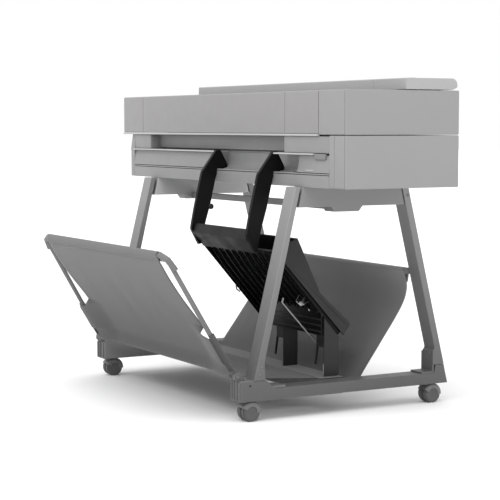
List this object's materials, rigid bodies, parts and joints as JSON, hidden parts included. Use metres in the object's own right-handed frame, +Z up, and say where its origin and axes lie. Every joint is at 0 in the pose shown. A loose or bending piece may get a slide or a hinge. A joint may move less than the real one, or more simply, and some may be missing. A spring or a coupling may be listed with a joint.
{
  "type": "large format plotter",
  "caption": "Large format roll plotter on a castered A-frame stand, with a fabric media bin and a black cut sheet stacker under its front.",
  "frame": {"origin": "centre of the bounding box at floor level, under the casters", "axes": "+X to the machine's right seen from the front, +Y to the rear, +Z up; the front with the output slot and the media bin faces -Y"},
  "size_m": [1.305, 0.8476, 0.88],
  "materials": {
    "frame_paint": "satin powder coat, mid grey",
    "rail_paint": "satin powder coat",
    "caster_plastic": "dark nylon",
    "caster_tread": "hard black tread",
    "bin_fabric": "woven polyester, grey",
    "stacker_paint": "satin black",
    "bare_steel": "ground steel",
    "shell_plastic": "fine textured light grey",
    "light_plastic": "smooth pale grey",
    "dark_plastic": "dark grey",
    "feed_rubber": "grit coated",
    "belt_rubber": "toothed belt",
    "black_plastic": "black",
    "roll_paper": "uncoated white paper",
    "screen_glass": "dark display glass"
  },
  "bodies": {
    "stand": {"foot_left": "frame_paint", "foot_right": "frame_paint", "leg_front_left": "frame_paint", "leg_front_right": "frame_paint", "leg_rear_left": "frame_paint", "leg_rear_right": "frame_paint", "cross_beam_lower": "frame_paint", "cross_beam_upper": "frame_paint", "bin_rear_tube": "frame_paint", "head_rail_left": "rail_paint", "head_rail_right": "rail_paint", "bin_floor": "bin_fabric", "bin_flap_rear": "bin_fabric", "stacker_arm_left": "stacker_paint", "stacker_arm_right": "stacker_paint", "stacker_cross_plate": "stacker_paint", "stacker_chute": "stacker_paint", "stacker_wing_left": "stacker_paint", "stacker_wing_right": "stacker_paint", "stacker_rear_wall": "stacker_paint", "stacker_leg_left": "stacker_paint", "stacker_leg_right": "stacker_paint", "stacker_rod": "bare_steel", "carriage_rail": "bare_steel", "lower_trough": "shell_plastic", "lower_column_right": "shell_plastic", "front_trough": "shell_plastic", "front_apron": "shell_plastic", "slot_surround": "shell_plastic", "upper_trough": "shell_plastic", "upper_column_right": "shell_plastic", "control_pod": "shell_plastic", "output_ledge_left": "light_plastic", "output_ledge_right": "light_plastic", "platen": "dark_plastic", "carriage_belt": "belt_rubber", "power_inlet": "black_plastic", "touch_screen": "screen_glass"},
    "caster_front_left": {"caster_hood_front_left": "caster_plastic"},
    "wheels_front_left": {"caster_wheels_front_left": "caster_tread"},
    "caster_front_right": {"caster_hood_front_right": "caster_plastic"},
    "wheels_front_right": {"caster_wheels_front_right": "caster_tread"},
    "caster_rear_left": {"caster_hood_rear_left": "caster_plastic"},
    "wheels_rear_left": {"caster_wheels_rear_left": "caster_tread"},
    "caster_rear_right": {"caster_hood_rear_right": "caster_plastic"},
    "wheels_rear_right": {"caster_wheels_rear_right": "caster_tread"},
    "bin_front": {"bin_hoop": "frame_paint", "bin_flap_front": "bin_fabric"},
    "cover": {"front_cover": "shell_plastic", "cover_lip": "light_plastic"},
    "lid": {"roll_lid": "shell_plastic"},
    "print_carriage": {"carriage": "dark_plastic"},
    "drive_pulley": {"belt_pulley_drive": "bare_steel"},
    "idle_pulley": {"belt_pulley_idle": "bare_steel"},
    "paper_feed": {"feed_roller": "feed_rubber"},
    "media_roll": {"roll_spindle": "black_plastic", "paper_roll": "roll_paper"},
    "button": {"power_button": "light_plastic"}
  },
  "joints": [
    {"name": "caster_swivel_front_left", "type": "hinge", "parent": "stand", "child": "caster_front_left", "pos_m": [-0.4258, -0.20125, 0.06], "axis": [0, 0, 1], "continuous": true},
    {"name": "caster_roll_front_left", "type": "hinge", "parent": "caster_front_left", "child": "wheels_front_left", "pos_m": [-0.4258, -0.18925, 0.025], "axis": [1, 0, 0], "continuous": true},
    {"name": "caster_swivel_front_right", "type": "hinge", "parent": "stand", "child": "caster_front_right", "pos_m": [0.4258, -0.20125, 0.06], "axis": [0, 0, 1], "continuous": true},
    {"name": "caster_roll_front_right", "type": "hinge", "parent": "caster_front_right", "child": "wheels_front_right", "pos_m": [0.4258, -0.18925, 0.025], "axis": [1, 0, 0], "continuous": true},
    {"name": "caster_swivel_rear_left", "type": "hinge", "parent": "stand", "child": "caster_rear_left", "pos_m": [-0.4258, 0.36875, 0.06], "axis": [0, 0, 1], "continuous": true},
    {"name": "caster_roll_rear_left", "type": "hinge", "parent": "caster_rear_left", "child": "wheels_rear_left", "pos_m": [-0.4258, 0.38075, 0.025], "axis": [1, 0, 0], "continuous": true},
    {"name": "caster_swivel_rear_right", "type": "hinge", "parent": "stand", "child": "caster_rear_right", "pos_m": [0.4258, 0.36875, 0.06], "axis": [0, 0, 1], "continuous": true},
    {"name": "caster_roll_rear_right", "type": "hinge", "parent": "caster_rear_right", "child": "wheels_rear_right", "pos_m": [0.4258, 0.38075, 0.025], "axis": [1, 0, 0], "continuous": true},
    {"name": "bin_fold", "type": "hinge", "parent": "stand", "child": "bin_front", "pos_m": [0, -0.22825, 0.118], "axis": [1, 0, 0], "range_deg": [-36, 0]},
    {"name": "cover_hinge", "type": "hinge", "parent": "stand", "child": "cover", "pos_m": [-0.065, 0.13575, 0.8484], "axis": [1, 0, 0], "range_deg": [-70, 0]},
    {"name": "lid_hinge", "type": "hinge", "parent": "stand", "child": "lid", "pos_m": [0.01, 0.29775, 0.85], "axis": [1, 0, 0], "range_deg": [-95, 0]},
    {"name": "carriage_travel", "type": "slide", "parent": "stand", "child": "print_carriage", "axis": [1, 0, 0], "range_m": [-0.89, 0]},
    {"name": "drive_pulley_spin", "type": "hinge", "parent": "stand", "child": "drive_pulley", "pos_m": [0.507, 0.10675, 0.762], "axis": [0, 0, 1], "continuous": true},
    {"name": "idle_pulley_spin", "type": "hinge", "parent": "stand", "child": "idle_pulley", "pos_m": [-0.545, 0.10675, 0.762], "axis": [0, 0, 1], "continuous": true},
    {"name": "feed_roller_spin", "type": "hinge", "parent": "stand", "child": "paper_feed", "pos_m": [0, 0.11475, 0.681], "axis": [1, 0, 0], "continuous": true},
    {"name": "media_roll_spin", "type": "hinge", "parent": "stand", "child": "media_roll", "pos_m": [0, 0.21875, 0.793], "axis": [1, 0, 0], "continuous": true},
    {"name": "power_button_press", "type": "slide", "parent": "stand", "child": "button", "axis": [0, 0, -1], "range_m": [0, 0.0015], "stiffness_N_per_m": 400, "springref_m": -0.0005}
  ],
  "couplings": [
    {"joint": "drive_pulley_spin", "follows": "carriage_travel", "rad_per_m": 83.333},
    {"joint": "idle_pulley_spin", "follows": "carriage_travel", "rad_per_m": 83.333}
  ]
}
